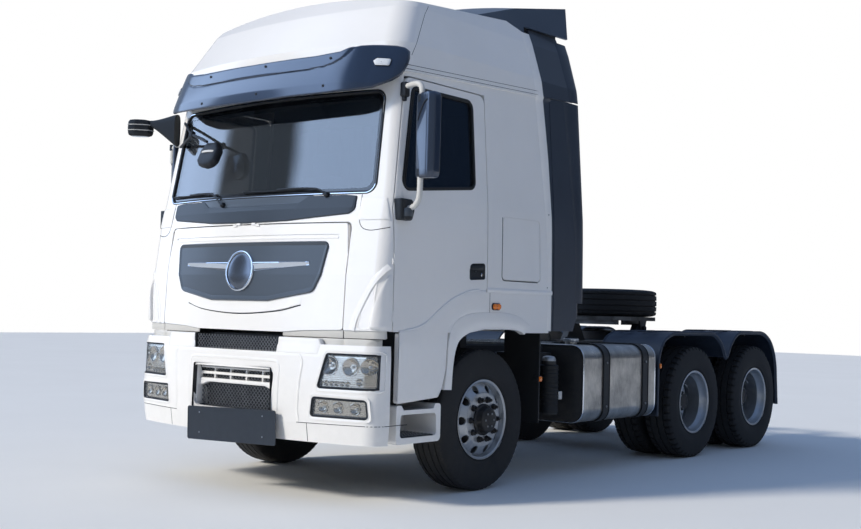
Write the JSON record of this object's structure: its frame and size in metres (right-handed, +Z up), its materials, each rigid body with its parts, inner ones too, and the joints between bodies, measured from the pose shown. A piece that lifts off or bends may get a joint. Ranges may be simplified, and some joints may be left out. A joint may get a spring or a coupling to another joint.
{
  "type": "semi truck tractor unit",
  "caption": "Three-axle semi truck tractor unit with a high-roof sleeper cab, twin rear wheels, a fuel tank, mudguards and a coupling plate carrying a spare wheel.",
  "frame": {"origin": "ground level at mid length and mid width", "axes": "+Z up, -Y the truck's front, +X the driver's side (the truck's left)"},
  "size_m": [3.02, 6.9964, 3.9896],
  "materials": {
    "white_paint": "glossy",
    "visor_plastic": "glossy",
    "dark_plastic": "satin",
    "black_plastic": "matte",
    "window_glass": "glossy",
    "lamp_glass": "glossy",
    "lamp_body": "matte",
    "chassis_paint": "satin",
    "bare_plate": "brushed",
    "engine_iron": "matte",
    "tank_metal": "brushed",
    "tyre": "matte",
    "rim_metal": "satin",
    "trim_fabric": "matte"
  },
  "bodies": {
    "chassis": {"frame_rail_left": "chassis_paint", "frame_rail_right": "chassis_paint", "frame_crossmembers": "chassis_paint", "deck_plate": "bare_plate", "cab_hangers": "chassis_paint", "front_bumper": "white_paint", "bumper_stays": "chassis_paint", "bumper_grilles": "black_plastic", "lamp_units": "lamp_body", "lamp_lenses": "lamp_glass", "lower_steps": "white_paint", "powertrain": "engine_iron", "front_axle": "chassis_paint", "drive_axles": "chassis_paint", "leaf_springs": "chassis_paint", "fuel_tank": "tank_metal", "tank_straps": "chassis_paint", "air_units": "black_plastic", "exhaust_box": "bare_plate", "battery_box": "black_plastic", "rear_mudguards": "dark_plastic", "tail_lamps": "lamp_body", "coupling_base": "chassis_paint"},
    "coupling": {"coupling_plate": "chassis_paint", "spare_tyre": "tyre", "spare_rim": "rim_metal"},
    "knuckle_left": {"knuckle_left": "chassis_paint"},
    "knuckle_right": {"knuckle_right": "chassis_paint"},
    "tie_rod": {"tie_rod": "chassis_paint"},
    "front_wheel_left": {"front_tyre_left": "tyre", "front_rim_left": "rim_metal"},
    "front_wheel_right": {"front_tyre_right": "tyre", "front_rim_right": "rim_metal"},
    "drive1_wheels_left": {"drive1_tyres_left": "tyre", "drive1_rims_left": "rim_metal"},
    "drive1_wheels_right": {"drive1_tyres_right": "tyre", "drive1_rims_right": "rim_metal"},
    "drive2_wheels_left": {"drive2_tyres_left": "tyre", "drive2_rims_left": "rim_metal"},
    "drive2_wheels_right": {"drive2_tyres_right": "tyre", "drive2_rims_right": "rim_metal"},
    "cab": {"cab_shell": "white_paint", "cab_roof": "white_paint", "windscreen": "window_glass", "sun_visor": "visor_plastic", "cowl_band": "dark_plastic", "side_fairings": "dark_plastic", "roof_deflector": "dark_plastic", "cab_interior": "trim_fabric", "cab_mounts": "chassis_paint", "arch_liners": "black_plastic", "corner_mirrors": "black_plastic"},
    "door_left": {"door_left": "white_paint", "door_glass_left": "window_glass", "mirror_left": "black_plastic"},
    "door_right": {"door_right": "white_paint", "door_glass_right": "window_glass", "mirror_right": "black_plastic"},
    "front_lid": {"front_lid": "white_paint", "grille_panel": "dark_plastic"}
  },
  "joints": [
    {"name": "cab_tilt", "type": "hinge", "parent": "chassis", "child": "cab", "pos_m": [0, -3.38, 0.94], "axis": [1, 0, 0], "range_deg": [0, 50]},
    {"name": "door_swing_left", "type": "hinge", "parent": "cab", "child": "door_left", "pos_m": [1.25, -3.1745, 2], "axis": [0, 0, -1], "range_deg": [0, 70]},
    {"name": "door_swing_right", "type": "hinge", "parent": "cab", "child": "door_right", "pos_m": [-1.25, -3.1745, 2], "axis": [0, 0, 1], "range_deg": [0, 70]},
    {"name": "lid_lift", "type": "hinge", "parent": "cab", "child": "front_lid", "pos_m": [0, -3.39, 1.922], "axis": [-1, 0, 0], "range_deg": [0, 80]},
    {"name": "steer_left", "type": "hinge", "parent": "chassis", "child": "knuckle_left", "pos_m": [0.9, -2.02, 0.53], "axis": [0, 0, 1], "range_deg": [-35, 35]},
    {"name": "steer_right", "type": "hinge", "parent": "chassis", "child": "knuckle_right", "pos_m": [-0.9, -2.02, 0.53], "axis": [0, 0, 1], "range_deg": [-35, 35]},
    {"name": "tie_rod_ball", "type": "hinge", "parent": "knuckle_left", "child": "tie_rod", "pos_m": [0.9, -1.83, 0.402], "axis": [0, 0, 1], "range_deg": [-35, 35]},
    {"name": "front_spin_left", "type": "hinge", "parent": "knuckle_left", "child": "front_wheel_left", "pos_m": [1.025, -2.02, 0.53], "axis": [1, 0, 0], "continuous": true},
    {"name": "front_spin_right", "type": "hinge", "parent": "knuckle_right", "child": "front_wheel_right", "pos_m": [-1.025, -2.02, 0.53], "axis": [1, 0, 0], "continuous": true},
    {"name": "drive1_spin_left", "type": "hinge", "parent": "chassis", "child": "drive1_wheels_left", "pos_m": [1.102, 1.28, 0.53], "axis": [1, 0, 0], "continuous": true},
    {"name": "drive1_spin_right", "type": "hinge", "parent": "chassis", "child": "drive1_wheels_right", "pos_m": [-1.102, 1.28, 0.53], "axis": [1, 0, 0], "continuous": true},
    {"name": "drive2_spin_left", "type": "hinge", "parent": "chassis", "child": "drive2_wheels_left", "pos_m": [1.102, 2.63, 0.53], "axis": [1, 0, 0], "continuous": true},
    {"name": "drive2_spin_right", "type": "hinge", "parent": "chassis", "child": "drive2_wheels_right", "pos_m": [-1.102, 2.63, 0.53], "axis": [1, 0, 0], "continuous": true},
    {"name": "coupling_rock", "type": "hinge", "parent": "chassis", "child": "coupling", "pos_m": [0, 1.66, 1.215], "axis": [1, 0, 0], "range_deg": [-10, 10]}
  ],
  "couplings": [
    {"joint": "steer_right", "follows": "steer_left", "ratio": 1},
    {"joint": "tie_rod_ball", "follows": "steer_left", "ratio": -1}
  ]
}
